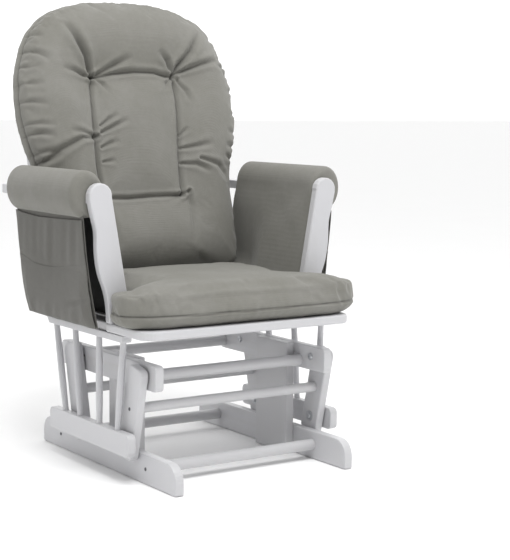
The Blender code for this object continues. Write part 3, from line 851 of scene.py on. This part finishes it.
def bagged(y, z):
    """The lower pocket: bellied out, pinched at the bottom edge and puckered there."""
    t = np.clip((z - 0.316) / 0.118, 0, 1)
    across = np.clip((y - PANEL_Y[0]) / 0.03, 0, 1) * np.clip((PANEL_Y[1] - y) / 0.03, 0, 1)
    belly = 0.0100 * np.sin(np.pi * t ** 0.75) ** 0.8
    pinch = 0.0026 * wander(y + 0.9 * z, (0.041, 0.067, 0.110), 71) \
        * np.exp(-((t - 0.14) / 0.17) ** 2)
    crease = -0.0042 * np.exp(-((z - 0.372 + 0.22 * (y + 0.10)) / 0.007) ** 2) \
        * np.clip((-0.03 - y) / 0.05, 0, 1)
    return 0.0040 + (belly + pinch + crease) * (0.3 + 0.7 * across)


for label, side in SIDES:
    panel = cloth_patch("pocket_panel_cloth_" + label, side, PANEL_Y, panel_bottom,
                        lambda y: 0.5535 + 0 * y, lambda y, z: 0 * y, 0.0030, (40, 40))
    upper = cloth_patch("upper_pocket_" + label, side, (PANEL_Y[0] + 0.0005, PANEL_Y[1] - 0.0005),
                        lambda y: 0.4200 + 0 * y, upper_edge, gathers, 0.0016, (170, 40))
    lower = cloth_patch("lower_pocket_" + label, side, PANEL_Y, panel_bottom, pocket_edge,
                        bagged, 0.0018, (130, 60))
    for sheet in (panel, upper, lower):
        subdivide_once(sheet)
        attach(sheet, "seat")
    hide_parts("pocket_panel_" + label)
print("pocket panels from y", [round(v, 3) for v in PANEL_Y])

# %% [markdown]
# ## The dark lining
# The inside of each arm cover is lined with black cloth. It shows as a dark strip between the
# arm post and the hanging panel.

# %% Lining sheets
for label, side in SIDES:
    ys = np.linspace(pad_low.y + 0.004, 0.10, 24)
    zs = np.linspace(0.336, 0.560, 30)
    verts, faces = [], []
    for skin in (0.0, 0.0012):
        for y in ys:
            for z in zs:
                t = (z - INNER_FOOT[1]) / (INNER_TOP[1] - INNER_FOOT[1])
                x = (INNER_FOOT[0] + (INNER_TOP[0] - INNER_FOOT[0]) * t
                     + 0.0020 * math.sin(math.pi * t))
                lead = max(0.0, 0.2575 - x) * min(max((y - 0.035) / 0.06, 0), 1)
                lead *= min(max((z - 0.33) / 0.07, 0), 1)
                verts.append((side * (x + lead + CLOTH + 0.0008 + skin), y, z))
    ny, nz = len(ys), len(zs)
    for i in range(ny - 1):
        for j in range(nz - 1):
            a, b, c, d = i * nz + j, (i + 1) * nz + j, (i + 1) * nz + j + 1, i * nz + j + 1
            faces += [(a, b, c, d), tuple(v + ny * nz for v in (d, c, b, a))]
    edge = [i * nz for i in range(ny)] + [(ny - 1) * nz + j for j in range(1, nz)]
    edge += [i * nz + nz - 1 for i in range(ny - 2, -1, -1)] + list(range(nz - 2, 0, -1))
    for a, b in zip(edge, edge[1:] + edge[:1]):
        faces.append((b, a, a + ny * nz, b + ny * nz))
    mesh = bpy.data.meshes.new("arm_lining_" + label)
    mesh.from_pydata(verts, [], faces)
    face_outwards(mesh)
    lining = link_mesh("arm_lining_" + label, mesh, lining_cloth)
    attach(lining, "seat")
print("linings made")


# %% [markdown]
# ## Small bolt heads
# Cap bolts with a hexagon socket show on the runners and on the links, and countersunk screws on
# the top rails. Each is a turned profile whose inner ring is pressed into a socket.

# %% Bolt heads
def bolt_head(name, at, side, radius, proud, body, material):
    """A low domed head on a face that looks along side * X, with a six-sided socket."""
    ring = [(0.0, radius), (proud * 0.6, radius), (proud, radius * 0.86), (proud, radius * 0.52),
            (-0.0002, radius * 0.46)]
    sides = 24
    work = bmesh.new()
    loops = []
    for step, (out, r) in enumerate(ring):
        loop = []
        for k in range(sides):
            a = 2 * math.pi * k / sides
            reach = r / max(abs(math.cos((a + math.pi / 6) % (math.pi / 3) - math.pi / 6)), 0.5) \
                if step >= 3 else r
            loop.append(work.verts.new((at[0] + side * out, at[1] + reach * math.cos(a),
                                        at[2] + reach * math.sin(a))))
        loops.append(loop)
    for one, two in zip(loops, loops[1:]):
        for k in range(sides):
            work.faces.new((one[k], one[(k + 1) % sides], two[(k + 1) % sides], two[k]))
    work.faces.new(loops[-1])
    work.faces.new(loops[0])
    bmesh.ops.recalc_face_normals(work, faces=work.faces)
    mesh = bpy.data.meshes.new(name)
    work.to_mesh(mesh)
    work.free()
    made = link_mesh(name, mesh, material)
    mesh.set_sharp_from_angle(angle=math.radians(35))
    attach(made, body)
    return made


heads = 0
for label, side in SIDES:
    low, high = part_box("runner_" + label)
    face = max(abs(low.x), abs(high.x))
    for which in ("front", "rear"):
        lo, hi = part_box("lower_dowel_" + which)
        middle = (lo + hi) / 2
        bolt_head(f"runner_bolt_{which}_{label}", (side * (face + 0.0001), middle.y, middle.z),
                  side, 0.0038, 0.0010, "base", grey_steel)
        lo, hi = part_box(f"{which}_link_dowel")
        middle = (lo + hi) / 2
        link_low, link_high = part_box(f"{which}_link_{label}")
        link_face = max(abs(link_low.x), abs(link_high.x))
        heads += 1
        if which == "front":
            bolt_head(f"link_bolt_{which}_{label}", (side * (link_face + 0.0001), middle.y,
                      middle.z), side, 0.0038, 0.0010, f"{which}_links", grey_steel)
            heads += 1
    rail_low, rail_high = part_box("top_rail_" + label)
    rail_face = max(abs(rail_low.x), abs(rail_high.x))
    for n, z in enumerate((0.230, 0.208)):
        bolt_head(f"rail_screw_{n}_{label}", (side * (rail_face + 0.0001), 0.037, z), side,
                  0.0027, 0.0006, "base", grey_steel)
        heads += 1
print("bolt heads:", heads)
